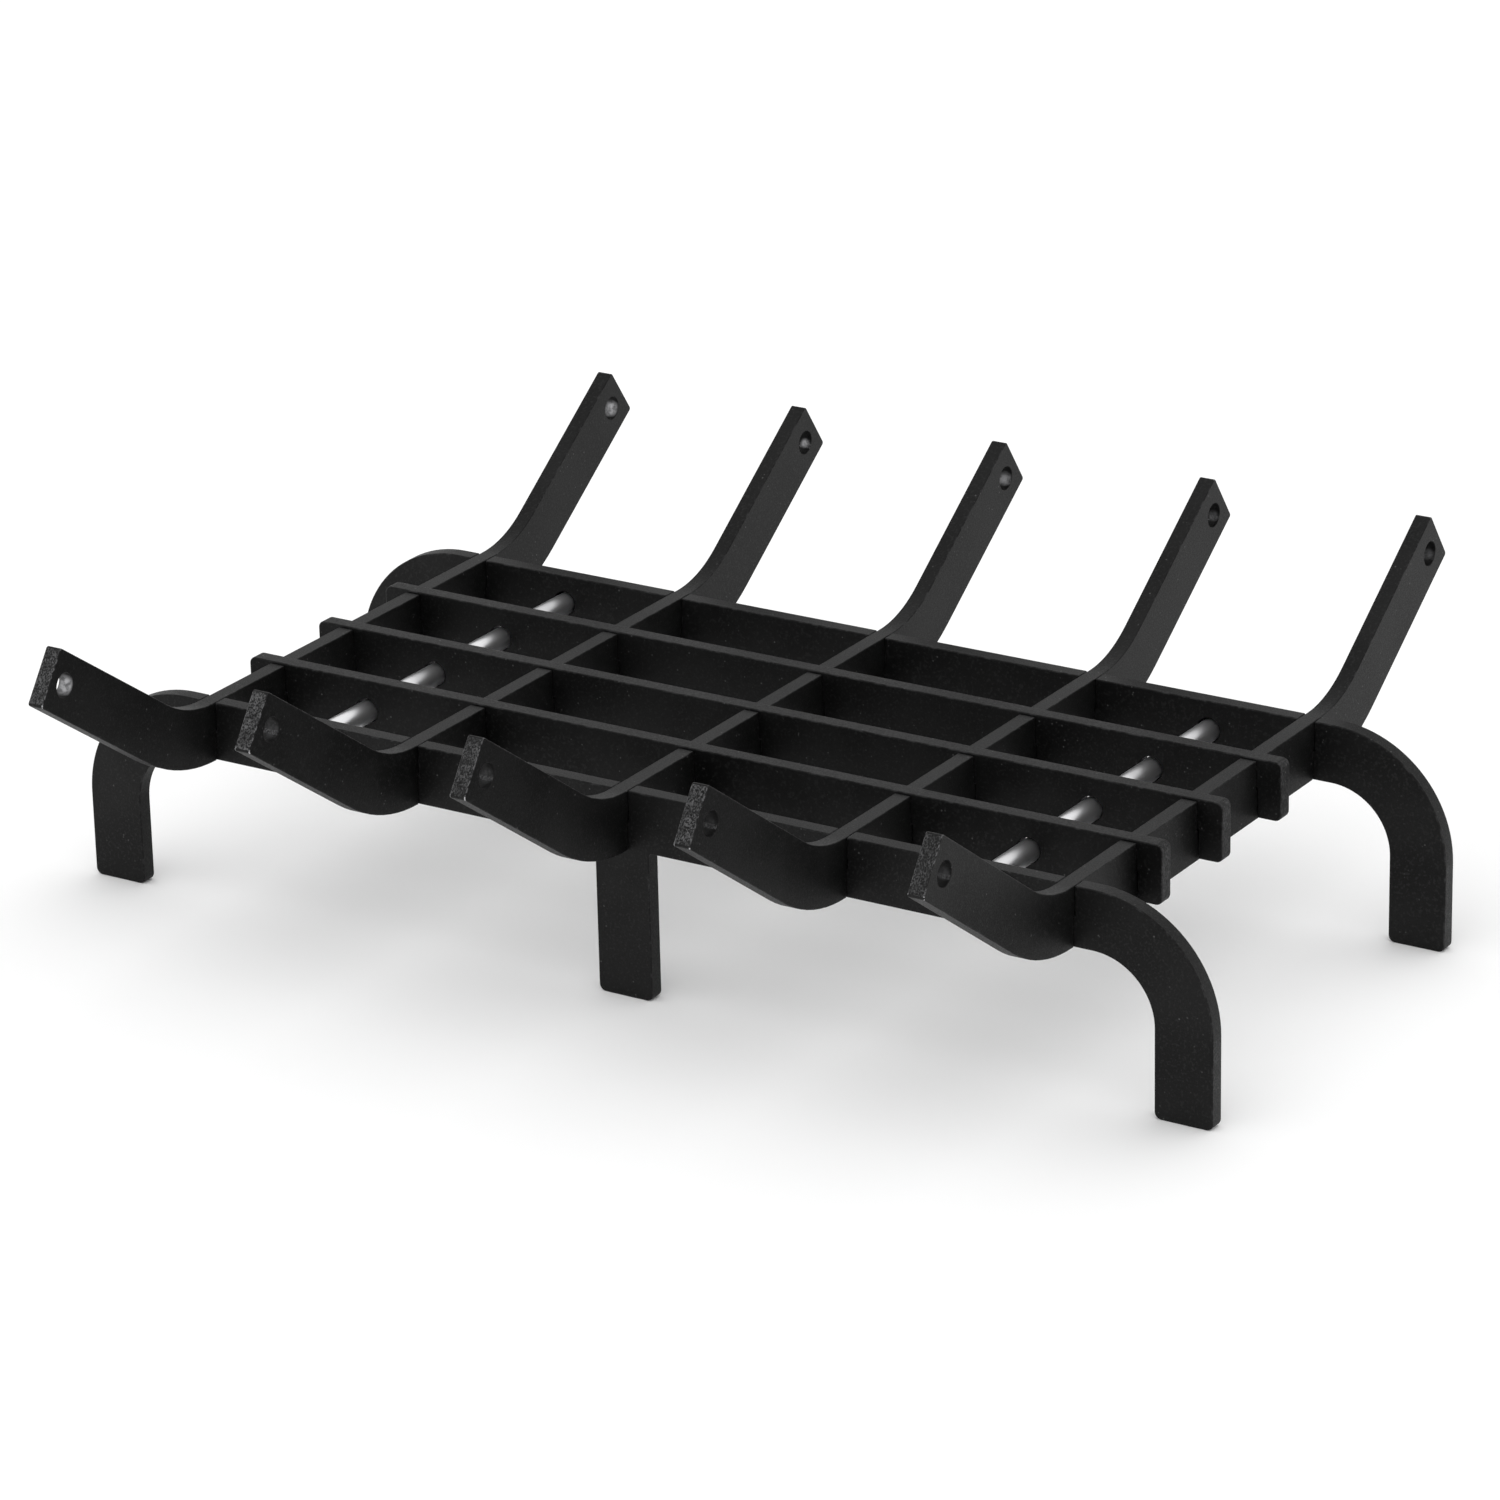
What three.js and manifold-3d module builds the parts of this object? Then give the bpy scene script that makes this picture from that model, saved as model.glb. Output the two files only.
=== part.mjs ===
// Log grate: five log bars cross five rails in half-lap slots, and two tie rods lock the grid.
//
// The front and rear rails carry the legs, and the log bars drop into slots in their top edges.
// The three middle rails then drop over the log bars from above. A tie rod through all five rails
// stops any of them from lifting again, so the grid holds together without a weld.
//
// Millimetres. +X runs along the rails, +Y to the back and +Z up. The origin is on the hearth,
// under the middle of the grid.

import * as THREE from "three";
import { mergeVertices } from "three/addons/utils/BufferGeometryUtils.js";
import Module from "manifold-3d";

// Plate
const PLATE = 9.5; // thickness of the steel plate of every rail and log bar
const BAR_DEPTH = 34; // height of a rail or log bar, on edge

// Grid
const DECK_HEIGHT = 120; // hearth to the top edge of the log bars
const LOG_BAR_COUNT = 5;
const LOG_BAR_PITCH = 136; // along X, centre to centre
const RAIL_PITCH = 66.5; // along Y, centre to centre
const RAIL_NAMES = [
  "front_leg_rail",
  "front_mid_rail",
  "centre_mid_rail",
  "rear_mid_rail",
  "rear_leg_rail",
];

// Leg rails
const LEG_RUN = 15.5; // outer log bar's centre to the start of the leg's bend
const LEG_BEND_RADIUS = 36; // inside of the bend
const FOOT_ROUND = 4; // corner radius of a foot
const CENTRE_LEG_FILLET = 2; // where the centre leg joins the rail

// Middle rails
const MID_RAIL_OVERHANG = 15; // past the outer log bar's outer face
const MID_RAIL_PROUD = 1.2; // above the log bars' top edges
const RAIL_END_ROUND = 4; // corner radius of a middle rail's end

// Log bars
const PRONG_ANGLE = THREE.MathUtils.degToRad(35); // above the level
const PRONG_BEND_RADIUS = 72; // inside of the bend
const PRONG_LENGTH = 108; // straight stretch from the bend to the tip
const PRONG_RUN = 0.5; // slot of the leg rail to the start of the bend
const TIP_ROUND = 1.5; // corner radius of a tip
const TIP_HOLE_DIAMETER = 14;
const TIP_HOLE_INSET = 13.5; // tip to the hole's centre

// Tie rods and their fasteners
const ROD_DIAMETER = 12.7;
const ROD_INSET = 60; // outer log bar's centre to the rod's centre, towards the middle
const ROD_CHAMFER = 1.2;
const THREAD_PROJECTION = 2.5; // rod end past its nut
const WASHER_THICKNESS = 2.5;
const WASHER_LIP = 2.5; // past the flats of the nut
const NUT_WALL = 3.15; // from the rod to a flat of the nut
const NUT_HEIGHT = 8;
const NUT_CHAMFER_ANGLE = THREE.MathUtils.degToRad(30);

// Fits
const SLOT_SIDE_GAP = 0.4; // each side of a plate in its slot
const SEAT_GAP = 0.3; // between two faces that rest on each other
const SLOT_ROUND = 0.5; // corner radius of a slot's floor
const ROD_HOLE_CLEARANCE = 1.6; // hole diameter over rod diameter
const WASHER_CLEARANCE = 0.8; // washer bore over rod diameter

// Facets
const CHORD_ERROR = 0.03; // most that a facet strays from its arc
const ARC_STEP_MAX = THREE.MathUtils.degToRad(22.5); // largest turn of one facet
const ROUND_SEGMENTS = 32; // facets round a rod, hole, washer or nut
const OVERCUT = 5; // how far a cutter runs past the face it opens

// Places
const RAIL_COUNT = RAIL_NAMES.length;
const DECK_UNDERSIDE = DECK_HEIGHT - BAR_DEPTH;
const logBarX = (i) => (i - (LOG_BAR_COUNT - 1) / 2) * LOG_BAR_PITCH;
const railY = (i) => (i - (RAIL_COUNT - 1) / 2) * RAIL_PITCH;
const isLegRail = (i) => i === 0 || i === RAIL_COUNT - 1;
const LOG_BAR_XS = Array.from({ length: LOG_BAR_COUNT }, (_, i) => logBarX(i));
const OUTER_BAR_X = logBarX(LOG_BAR_COUNT - 1);
const OUTER_RAIL_Y = railY(RAIL_COUNT - 1);
const SLOT_WIDTH = PLATE + 2 * SLOT_SIDE_GAP;
const MID_DEPTH = DECK_HEIGHT - BAR_DEPTH / 2; // where the two halves of a lap meet
const ROD_X = OUTER_BAR_X - ROD_INSET;
const ROD_Z = MID_DEPTH - ROD_HOLE_CLEARANCE / 2 + SEAT_GAP; // the rod lies low in its holes
const NUT_ACROSS_FLATS = ROD_DIAMETER + 2 * NUT_WALL;
const WASHER_DIAMETER = NUT_ACROSS_FLATS + 2 * WASHER_LIP;
const WASHER_Y = OUTER_RAIL_Y + PLATE / 2 + SEAT_GAP; // inner face, as are the next
const NUT_Y = WASHER_Y + WASHER_THICKNESS + SEAT_GAP;
const ROD_END_Y = NUT_Y + NUT_HEIGHT + THREAD_PROJECTION;

const wasm = await Module();
wasm.setup();

// A geometry as a solid for cutting and joining.
function solidOf(geometry) {
  const bare = new THREE.BufferGeometry();
  bare.setAttribute("position", geometry.getAttribute("position"));
  bare.setIndex(geometry.index);
  const merged = mergeVertices(bare, 1e-4);
  return new wasm.Manifold(
    new wasm.Mesh({
      numProp: 3,
      vertProperties: merged.getAttribute("position").array,
      triVerts: new Uint32Array(merged.index.array),
    }),
  );
}

// A solid as a geometry with flat facets.
function geometryOf(solid) {
  const mesh = solid.getMesh();
  const geometry = new THREE.BufferGeometry();
  geometry.setAttribute("position", new THREE.BufferAttribute(mesh.vertProperties, 3));
  geometry.setIndex(new THREE.BufferAttribute(mesh.triVerts, 1));
  const flat = geometry.toNonIndexed();
  flat.computeVertexNormals();
  return flat;
}

// A closed outline through corners { x, y, r }, each rounded to its radius r.
function roundedOutline(corners) {
  const points = [];
  corners.forEach((corner, i) => {
    const at = new THREE.Vector2(corner.x, corner.y);
    if (!corner.r) {
      points.push(at);
      return;
    }
    const before = corners[(i + corners.length - 1) % corners.length];
    const after = corners[(i + 1) % corners.length];
    const inward = new THREE.Vector2(before.x, before.y).sub(at).normalize();
    const outward = new THREE.Vector2(after.x, after.y).sub(at).normalize();
    const turn = Math.PI - Math.acos(inward.dot(outward));
    const middle = inward.clone().add(outward).normalize();
    const centre = at.clone().addScaledVector(middle, corner.r / Math.cos(turn / 2));
    const start = at.clone().addScaledVector(inward, corner.r * Math.tan(turn / 2)).sub(centre);
    const side = Math.sign(outward.cross(inward)); // +1 where the outline turns left
    const step = Math.min(2 * Math.acos(1 - CHORD_ERROR / corner.r), ARC_STEP_MAX);
    const steps = Math.ceil(turn / step);
    for (let k = 0; k <= steps; k++) {
      const spoke = start.clone().rotateAround(new THREE.Vector2(), (side * turn * k) / steps);
      points.push(spoke.add(centre));
    }
  });
  return new THREE.Shape(points);
}

// A flat piece of the given thickness, centred on its own plane, cut from an outline.
function plateOf(shape, thickness = PLATE) {
  const geometry = new THREE.ExtrudeGeometry(shape, { depth: thickness, bevelEnabled: false });
  return geometry.translate(0, 0, -thickness / 2);
}

// The gap for a crossing plate, centred at x, from its floor to past the edge that it opens.
function slotCutter(x, floor, edge) {
  const open = edge + Math.sign(edge - floor) * OVERCUT;
  const half = SLOT_WIDTH / 2;
  const corners = [
    { x: x - half, y: open, r: 0 },
    { x: x - half, y: floor, r: SLOT_ROUND },
    { x: x + half, y: floor, r: SLOT_ROUND },
    { x: x + half, y: open, r: 0 },
  ];
  if (edge < floor) corners.reverse();
  return solidOf(plateOf(roundedOutline(corners), PLATE + 2 * OVERCUT));
}

// A round hole through a plate.
function holeCutter(x, y, diameter) {
  const length = PLATE + 2 * OVERCUT;
  const geometry = new THREE.CylinderGeometry(diameter / 2, diameter / 2, length, ROUND_SEGMENTS);
  return solidOf(geometry.rotateX(Math.PI / 2).translate(x, y, 0));
}

function cut(blank, cutters) {
  const solid = cutters.reduce((rest, cutter) => rest.subtract(cutter), solidOf(blank));
  return geometryOf(solid);
}

const rodHoleCutters = () =>
  [-ROD_X, ROD_X].map((x) => holeCutter(x, MID_DEPTH, ROD_DIAMETER + ROD_HOLE_CLEARANCE));

// Front and rear rail: both ends bend down into legs, and a third leg stands under the middle.
// Its slots open upwards, one for each log bar.
function legRailGeometry() {
  const bendOut = LEG_BEND_RADIUS + BAR_DEPTH;
  const outer = OUTER_BAR_X + LEG_RUN + bendOut;
  const inner = outer - BAR_DEPTH;
  const half = BAR_DEPTH / 2;
  const rightSide = [
    { x: half, y: 0, r: FOOT_ROUND },
    { x: half, y: DECK_UNDERSIDE, r: CENTRE_LEG_FILLET },
    { x: inner, y: DECK_UNDERSIDE, r: LEG_BEND_RADIUS },
    { x: inner, y: 0, r: FOOT_ROUND },
    { x: outer, y: 0, r: FOOT_ROUND },
    { x: outer, y: DECK_HEIGHT, r: bendOut },
  ];
  const leftSide = rightSide.map(({ x, y, r }) => ({ x: -x, y, r })).reverse();
  const floor = MID_DEPTH - SEAT_GAP / 2;
  return cut(plateOf(roundedOutline([...rightSide, ...leftSide])), [
    ...LOG_BAR_XS.map((x) => slotCutter(x, floor, DECK_HEIGHT)),
    ...rodHoleCutters(),
  ]);
}

// Middle rail: straight, with rounded ends. Its slots open downwards over the log bars.
function midRailGeometry() {
  const end = OUTER_BAR_X + PLATE / 2 + MID_RAIL_OVERHANG;
  const top = DECK_HEIGHT + MID_RAIL_PROUD;
  const bottom = top - BAR_DEPTH;
  const outline = roundedOutline([
    { x: -end, y: bottom, r: RAIL_END_ROUND },
    { x: end, y: bottom, r: RAIL_END_ROUND },
    { x: end, y: top, r: RAIL_END_ROUND },
    { x: -end, y: top, r: RAIL_END_ROUND },
  ]);
  const ceiling = MID_DEPTH + MID_RAIL_PROUD / 2 + SEAT_GAP / 2;
  return cut(plateOf(outline), [
    ...LOG_BAR_XS.map((x) => slotCutter(x, ceiling, bottom)),
    ...rodHoleCutters(),
  ]);
}

// Log bar: level over the rails, then bent up in its own plane into a prong at each end.
// Its outer slots open downwards over the leg rails, its middle ones upwards for the others.
function logBarGeometry() {
  const bendStart = OUTER_RAIL_Y + SLOT_WIDTH / 2 + PRONG_RUN;
  const outsideRadius = PRONG_BEND_RADIUS + BAR_DEPTH;
  const along = new THREE.Vector2(Math.cos(PRONG_ANGLE), Math.sin(PRONG_ANGLE));
  const across = new THREE.Vector2(-along.y, along.x);
  const topTangent = PRONG_BEND_RADIUS * Math.tan(PRONG_ANGLE / 2);
  const bottomTangent = outsideRadius * Math.tan(PRONG_ANGLE / 2);
  const topBend = new THREE.Vector2(bendStart + topTangent, DECK_HEIGHT);
  const bottomBend = new THREE.Vector2(bendStart + bottomTangent, DECK_UNDERSIDE);
  const topTip = topBend.clone().addScaledVector(along, topTangent + PRONG_LENGTH);
  const bottomTip = bottomBend.clone().addScaledVector(along, bottomTangent + PRONG_LENGTH);
  const rearSide = [
    { x: bottomBend.x, y: bottomBend.y, r: outsideRadius },
    { x: bottomTip.x, y: bottomTip.y, r: TIP_ROUND },
    { x: topTip.x, y: topTip.y, r: TIP_ROUND },
    { x: topBend.x, y: topBend.y, r: PRONG_BEND_RADIUS },
  ];
  const frontSide = rearSide.map(({ x, y, r }) => ({ x: -x, y, r })).reverse();
  const hole = bottomTip
    .clone()
    .addScaledVector(along, -TIP_HOLE_INSET)
    .addScaledVector(across, BAR_DEPTH / 2);
  const slots = RAIL_NAMES.map((_, i) =>
    isLegRail(i)
      ? slotCutter(railY(i), MID_DEPTH + SEAT_GAP / 2, DECK_UNDERSIDE)
      : slotCutter(railY(i), MID_DEPTH + MID_RAIL_PROUD / 2 - SEAT_GAP / 2, DECK_HEIGHT),
  );
  return cut(plateOf(roundedOutline([...rearSide, ...frontSide])), [
    ...slots,
    holeCutter(hole.x, hole.y, TIP_HOLE_DIAMETER),
    holeCutter(-hole.x, hole.y, TIP_HOLE_DIAMETER),
  ]);
}

// A solid of revolution about Y from a profile of radius and height.
function turned(profile) {
  const points = profile.map(([radius, y]) => new THREE.Vector2(radius, y));
  return new THREE.LatheGeometry(points, ROUND_SEGMENTS);
}

// Tie rod: a plain bar with chamfered ends that pass through the washers and nuts.
function tieRodGeometry() {
  const radius = ROD_DIAMETER / 2;
  return turned([
    [0, -ROD_END_Y],
    [radius - ROD_CHAMFER, -ROD_END_Y],
    [radius, -ROD_END_Y + ROD_CHAMFER],
    [radius, ROD_END_Y - ROD_CHAMFER],
    [radius - ROD_CHAMFER, ROD_END_Y],
    [0, ROD_END_Y],
  ]);
}

// Washer, from y = 0 outwards.
function washerGeometry() {
  const bore = (ROD_DIAMETER + WASHER_CLEARANCE) / 2;
  const rim = WASHER_DIAMETER / 2;
  return turned([
    [bore, 0],
    [rim, 0],
    [rim, WASHER_THICKNESS],
    [bore, WASHER_THICKNESS],
    [bore, 0],
  ]);
}

// Hexagon nut, from y = 0 outwards, with the corners of both faces chamfered.
function nutGeometry() {
  const flat = NUT_ACROSS_FLATS / 2;
  const corner = flat / Math.cos(Math.PI / 6);
  const chamfer = (corner - flat) * Math.tan(NUT_CHAMFER_ANGLE);
  const prism = new THREE.CylinderGeometry(corner, corner, NUT_HEIGHT, 6);
  prism.translate(0, NUT_HEIGHT / 2, 0);
  const envelope = turned([
    [0, 0],
    [flat, 0],
    [corner, chamfer],
    [corner, NUT_HEIGHT - chamfer],
    [flat, NUT_HEIGHT],
    [0, NUT_HEIGHT],
  ]);
  const boreRadius = ROD_DIAMETER / 2 + SEAT_GAP;
  const boreLength = NUT_HEIGHT + 2 * OVERCUT;
  const bore = new THREE.CylinderGeometry(boreRadius, boreRadius, boreLength, ROUND_SEGMENTS);
  bore.translate(0, NUT_HEIGHT / 2, 0);
  return geometryOf(solidOf(prism).intersect(solidOf(envelope)).subtract(solidOf(bore)));
}

const blackCoat = () =>
  new THREE.MeshStandardMaterial({ color: 0x1d1d1f, roughness: 0.62, metalness: 0.35 });
const brightSteel = () =>
  new THREE.MeshStandardMaterial({ color: 0xc9ccd0, roughness: 0.2, metalness: 1 });
const zincPlate = () =>
  new THREE.MeshStandardMaterial({ color: 0xaeb2b5, roughness: 0.38, metalness: 1 });

function piece(name, geometry, material) {
  const mesh = new THREE.Mesh(geometry, material);
  mesh.name = name;
  return mesh;
}

// Rails: drawn in X and height, stood up and set back to their place in depth.
function buildRails() {
  const rails = new THREE.Group();
  RAIL_NAMES.forEach((name, i) => {
    const rail = piece(name, isLegRail(i) ? legRailGeometry() : midRailGeometry(), blackCoat());
    rail.rotation.x = Math.PI / 2;
    rail.position.y = railY(i);
    rails.add(rail);
  });
  return rails;
}

// Log bars: drawn in depth and height, stood up, turned across the rails and spaced along X.
function buildLogBars() {
  const logBars = new THREE.Group();
  LOG_BAR_XS.forEach((x, i) => {
    const bar = piece(`log_bar_${i + 1}`, logBarGeometry(), blackCoat());
    bar.rotation.set(Math.PI / 2, 0, Math.PI / 2, "ZYX");
    bar.position.x = x;
    logBars.add(bar);
  });
  return logBars;
}

// One tie rod with a washer and a nut at each end. The rear pair is turned end for end.
function buildTieRod(side, x) {
  const tie = new THREE.Group();
  tie.position.set(x, 0, ROD_Z);
  tie.add(piece(`${side}_tie_rod`, tieRodGeometry(), brightSteel()));
  for (const [end, turn] of [["rear", 0], ["front", Math.PI]]) {
    const fasteners = new THREE.Group();
    fasteners.rotation.z = turn;
    const washer = piece(`${side}_${end}_washer`, washerGeometry(), zincPlate());
    washer.position.y = WASHER_Y;
    const nut = piece(`${side}_${end}_nut`, nutGeometry(), zincPlate());
    nut.position.y = NUT_Y;
    fasteners.add(washer, nut);
    tie.add(fasteners);
  }
  return tie;
}

const grate = new THREE.Group();
grate.add(buildRails());
grate.add(buildLogBars());
grate.add(buildTieRod("left", -ROD_X));
grate.add(buildTieRod("right", ROD_X));

export default grate;
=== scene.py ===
"""A fireplace log grate of black coated plate, held together by two bright tie rods.

Every plate is drawn as flat panels, thickened, and eased along its cut edges. The tie rods, their
threads, the washers and the nuts are turned. Metres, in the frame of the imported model: +X runs
along the rails, +Y to the back and +Z up, and the origin is on the hearth under the grid.
"""

from __future__ import annotations

import logging
import math
from abc import ABC, abstractmethod
from dataclasses import dataclass, field
from enum import Enum

import bmesh
import bpy
from mathutils import Matrix, Vector

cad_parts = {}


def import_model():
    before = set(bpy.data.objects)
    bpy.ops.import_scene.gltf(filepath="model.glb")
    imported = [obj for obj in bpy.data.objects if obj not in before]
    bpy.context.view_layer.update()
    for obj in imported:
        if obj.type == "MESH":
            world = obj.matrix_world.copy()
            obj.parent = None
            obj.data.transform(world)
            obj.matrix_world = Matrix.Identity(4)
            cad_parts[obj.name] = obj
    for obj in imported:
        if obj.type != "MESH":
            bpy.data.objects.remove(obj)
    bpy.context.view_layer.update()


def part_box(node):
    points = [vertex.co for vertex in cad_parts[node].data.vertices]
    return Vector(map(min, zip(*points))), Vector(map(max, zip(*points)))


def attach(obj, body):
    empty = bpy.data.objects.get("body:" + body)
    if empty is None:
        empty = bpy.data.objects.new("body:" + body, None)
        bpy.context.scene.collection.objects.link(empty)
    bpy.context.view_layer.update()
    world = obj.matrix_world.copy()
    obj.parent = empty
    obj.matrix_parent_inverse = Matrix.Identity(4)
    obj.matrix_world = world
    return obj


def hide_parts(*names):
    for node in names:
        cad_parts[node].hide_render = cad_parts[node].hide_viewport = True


LOG = logging.getLogger("log_grate")

MM = 0.001
FULL_TURN = 2 * math.pi
HALF_TURN = math.pi
QUARTER_TURN = math.pi / 2
Y_AXIS = Vector((0, 1, 0))
Z_AXIS = Vector((0, 0, 1))
WELD = 0.001 * MM

Colour = tuple[float, float, float]
Stretch = tuple[float, float, float]


class Zone(Enum):
    """Attribute that tells a finish which part of a piece it is on.

    A hook mark fades from point to point, and the others belong to whole faces.
    """

    ARRIS = "arris"
    # Cut ends, lightened by saw marks plus painted light.
    SAWN = "sawn"
    HOOK_MARK = "hook_mark"


class Pairing(Enum):
    """How two values are combined, under the name that a Math node has for it."""

    BOTH = "MULTIPLY"
    EITHER = "MAXIMUM"


class Blend(Enum):
    """What a Mix node blends: its data type, and its places for the two inputs and the result."""

    COLOURS = ("RGBA", 6, 7, 2)
    NUMBERS = ("FLOAT", 2, 3, 0)


class End(Enum):
    """The end of a tie rod, as the side of the frame that it points to."""

    FRONT = -1
    REAR = 1


# Sizes


@dataclass(frozen=True)
class Stock:
    """Sizes that all the plates share."""

    thickness: float = 9.5 * MM
    depth: float = 34 * MM
    deck_height: float = 120 * MM
    slot_side_gap: float = 0.4 * MM
    seat_gap: float = 0.3 * MM
    rod_inset: float = 60 * MM
    rod_hole_diameter: float = 14.3 * MM
    arris: float = 0.75 * MM
    hole_arris: float = 0.35 * MM
    arris_segments: int = 3
    arc_step: float = math.radians(3.5)
    corner_segments: int = 7
    cut_corner: float = math.radians(30)
    crease: float = math.radians(50)

    @property
    def underside(self) -> float:
        """Height of the lower edge of a rail or log bar."""
        return self.deck_height - self.depth

    @property
    def mid_depth(self) -> float:
        """Height at which the halves of a lap joint meet."""
        return self.deck_height - self.depth / 2

    @property
    def half_slot(self) -> float:
        """Half the width of a slot."""
        return self.thickness / 2 + self.slot_side_gap


STOCK = Stock()


@dataclass(frozen=True)
class HookMark:
    """Spot on a hole's wall that the hook of the coating line left bare.

    The hook pressed on the wall at a bearing in the drawing, at a height above its middle plane. The
    mark fades out at its radius, and a core over 1 keeps its middle at full strength.
    """

    radius: float
    strength: float
    bearing: float = math.radians(-25)
    height: float = -0.75 * MM
    core: float = 1.7

    def at(self, point: Vector, centre: Vector, hole_radius: float) -> float:
        """Strength of the mark at a point.

        Args:
            point: Point of the drawing.
            centre: Centre of the hole.
            hole_radius: Radius of the hole.

        Returns:
            The strength, from 0 to 1.
        """
        arm = Vector((math.cos(self.bearing), 0, math.sin(self.bearing))) * hole_radius
        away = (point - centre - arm - Y_AXIS * self.height).length
        return self.strength * min(1, max(0, self.core * (1 - away / self.radius)))


def steps_for(angle: float) -> int:
    """Facets for an arc.

    Args:
        angle: Turn of the arc, in radians.

    Returns:
        The number of equal facets.
    """
    return max(2, math.ceil(abs(angle) / STOCK.arc_step))


def middle_of(node: str) -> Vector:
    """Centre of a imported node's box.

    Args:
        node: Name of the node.

    Returns:
        The centre.
    """
    low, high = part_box(node)
    return (Vector(low) + Vector(high)) / 2


# Drawing


def edges_of(verts: list[bmesh.types.BMVert]) -> list[bmesh.types.BMEdge]:
    """Edges that meet some vertices, each once, in the order of the vertices.

    Args:
        verts: The vertices.

    Returns:
        The edges.
    """
    return list(dict.fromkeys(e for v in verts for e in v.link_edges))


class Outline:
    """Draws one closed flat panel in the XZ plane of a mesh, a stretch or an arc at a time."""

    def __init__(self, mesh: bmesh.types.BMesh, x: float, z: float) -> None:
        """Starts an outline.

        Args:
            mesh: Mesh that the panel is added to.
            x: Start, along X.
            z: Start, in height.
        """
        self.mesh = mesh
        self.before = set(mesh.verts)
        self.tip = bmesh.ops.create_vert(mesh, co=(x, 0, z))["vert"][0]
        self.first = self.tip
        self.corners: dict[float, list[bmesh.types.BMVert]] = {}

    def line(self, x: float, z: float, rounding: float = 0) -> Outline:
        """Draws a straight stretch.

        Args:
            x: Its end, along X.
            z: Its end, in height.
            rounding: Radius of the corner at its end.

        Returns:
            This outline.
        """
        self.tip = bmesh.ops.extrude_vert_indiv(self.mesh, verts=[self.tip])["verts"][0]
        bmesh.ops.translate(self.mesh, verts=[self.tip], vec=Vector((x, 0, z)) - self.tip.co)
        if rounding:
            self.corners.setdefault(rounding, []).append(self.tip)
        return self

    def arc(self, x: float, z: float, angle: float) -> Outline:
        """Draws an arc from the outline's tip.

        Args:
            x: Centre, along X.
            z: Centre, in height.
            angle: Turn, anticlockwise with X to the right and Z up.

        Returns:
            This outline.
        """
        swept = bmesh.ops.spin(
            self.mesh,
            geom=[self.tip],
            cent=(x, 0, z),
            axis=-Y_AXIS,
            angle=angle,
            steps=steps_for(angle),
            use_merge=False,
            use_duplicate=False,
        )
        self.tip = next(g for g in swept["geom_last"] if isinstance(g, bmesh.types.BMVert))
        return self

    def close(self) -> None:
        """Joins the tip to the start, fills the panel and rounds its corners."""
        bmesh.ops.contextual_create(self.mesh, geom=[self.tip, self.first])
        edges = edges_of([v for v in self.mesh.verts if v not in self.before])
        bmesh.ops.edgeloop_fill(self.mesh, edges=edges)
        for rounding, corners in self.corners.items():
            bmesh.ops.bevel(
                self.mesh,
                geom=corners,
                offset=rounding,
                offset_type="OFFSET",
                segments=STOCK.corner_segments,
                profile=0.5,
                affect="VERTICES",
                material=-1,
            )


def mark(mesh: bmesh.types.BMesh, zone: Zone, faces: list[bmesh.types.BMFace], value: float) -> None:
    """Gives faces a value of one zone attribute.

    Args:
        mesh: Mesh of the faces, which has the attribute.
        zone: Attribute to write.
        faces: Faces that get the value.
        value: The value.
    """
    layer = mesh.faces.layers.float[zone.value]
    for face in faces:
        face[layer] = value


def ease(
    mesh: bmesh.types.BMesh, edges: list[bmesh.types.BMEdge], width: float
) -> list[bmesh.types.BMFace]:
    """Rounds edges over.

    Args:
        mesh: Mesh of the edges.
        edges: Edges to round.
        width: Width that the rounding takes off each face.

    Returns:
        The new faces.
    """
    return bmesh.ops.bevel(
        mesh,
        geom=edges,
        offset=width,
        offset_type="OFFSET",
        segments=STOCK.arris_segments,
        profile=0.5,
        affect="EDGES",
        material=-1,
        clamp_overlap=True,
        loop_slide=True,
    )["faces"]


def sharp_edges(mesh: bmesh.types.BMesh, least: float) -> list[bmesh.types.BMEdge]:
    """Edges whose faces meet at an angle.

    Args:
        mesh: Mesh to look through.
        least: Least angle between the faces' normals, in radians.

    Returns:
        The edges.
    """
    return [e for e in mesh.edges if e.is_manifold and e.calc_face_angle() > least]


def finished(mesh: bmesh.types.BMesh, name: str, crease: float) -> bpy.types.Object:
    """Makes a mesh an object of the scene, shaded smooth between its creases.

    Args:
        mesh: Finished mesh, which is freed.
        name: Name of the piece.
        crease: Angle from which an edge stays sharp, in radians.

    Returns:
        The object.
    """
    bmesh.ops.recalc_face_normals(mesh, faces=mesh.faces)
    for face in mesh.faces:
        face.smooth = True
    for edge in sharp_edges(mesh, crease):
        edge.smooth = False
    data = bpy.data.meshes.new(name)
    mesh.to_mesh(data)
    mesh.free()
    piece = bpy.data.objects.new(name, data)
    bpy.context.scene.collection.objects.link(piece)
    shading = piece.modifiers.new("flat_faces", "WEIGHTED_NORMAL")
    shading.mode = "FACE_AREA"
    shading.keep_sharp = True
    return piece


def fit(piece: bpy.types.Object, node: str, finish: Finish) -> None:
    """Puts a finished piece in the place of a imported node.

    Args:
        piece: The piece.
        node: Name of the node that it stands for.
        finish: Its finish.
    """
    piece.data.materials.append(finish.material())
    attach(piece, "root")
    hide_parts(node)
    faces = len(piece.data.polygons)
    LOG.info("%s stands for %s: %d faces, %s", piece.name, node, faces, finish.slot)


# Finishes


@dataclass(frozen=True)
class Cloud:
    """Cloudy pattern: the size of its largest patches, and its number of finer layers."""

    size: float
    layers: float


@dataclass(frozen=True)
class Band:
    """Values of a pattern between which a result passes smoothly from low to high."""

    start: float
    end: float
    low: float = 0
    high: float = 1


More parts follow.
